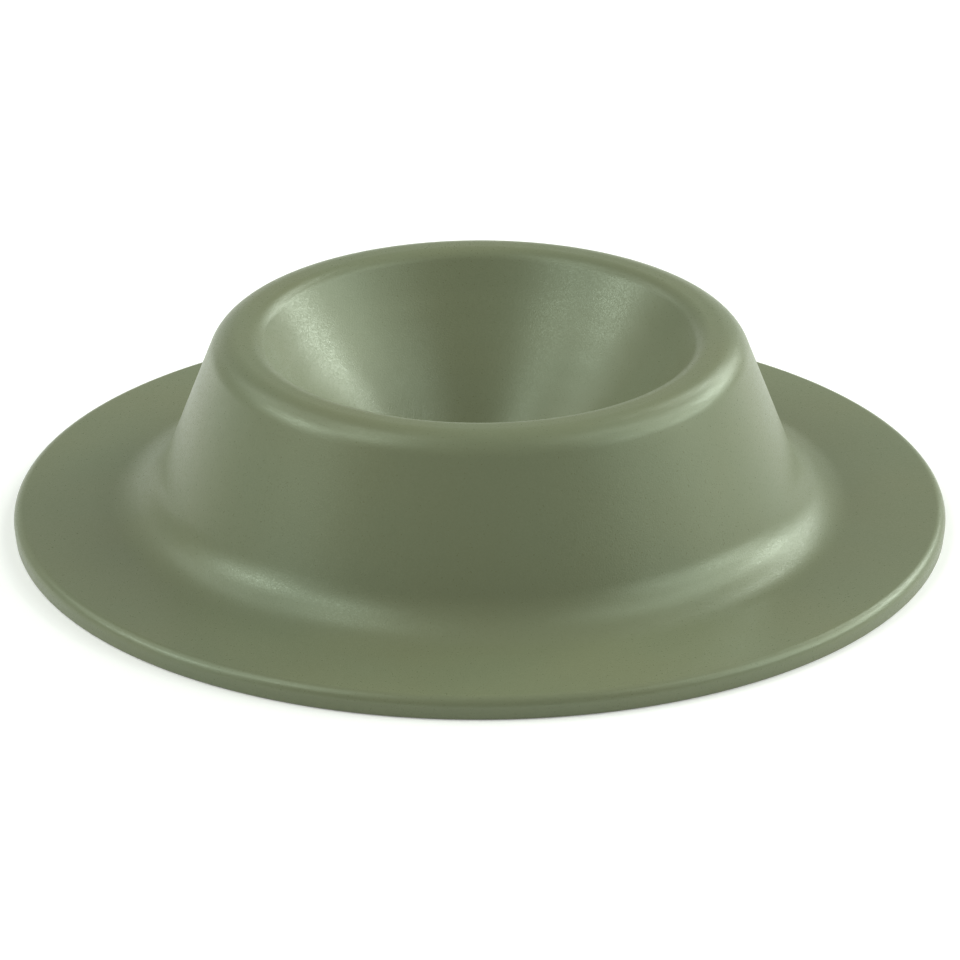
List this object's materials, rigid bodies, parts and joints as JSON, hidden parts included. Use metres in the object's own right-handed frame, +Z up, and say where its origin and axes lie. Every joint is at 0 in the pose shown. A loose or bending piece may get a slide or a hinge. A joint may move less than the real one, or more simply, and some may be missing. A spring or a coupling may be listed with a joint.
{
  "type": "egg cup",
  "caption": "Low egg cup moulded in one piece: a bowl with bowed sides in a leaning, round-rimmed wall that flares into a flat round saucer.",
  "frame": {"origin": "middle of the base, on the table", "axes": "+Z up, along the axis of the bowl; the cup is the same all round, so +X is any side"},
  "size_m": [0.095, 0.095, 0.0208],
  "materials": {
    "shell": "satin, solid olive green all through, with a fine even moulded grain"
  },
  "bodies": {
    "root": {"egg_cup": "shell"}
  },
  "joints": []
}
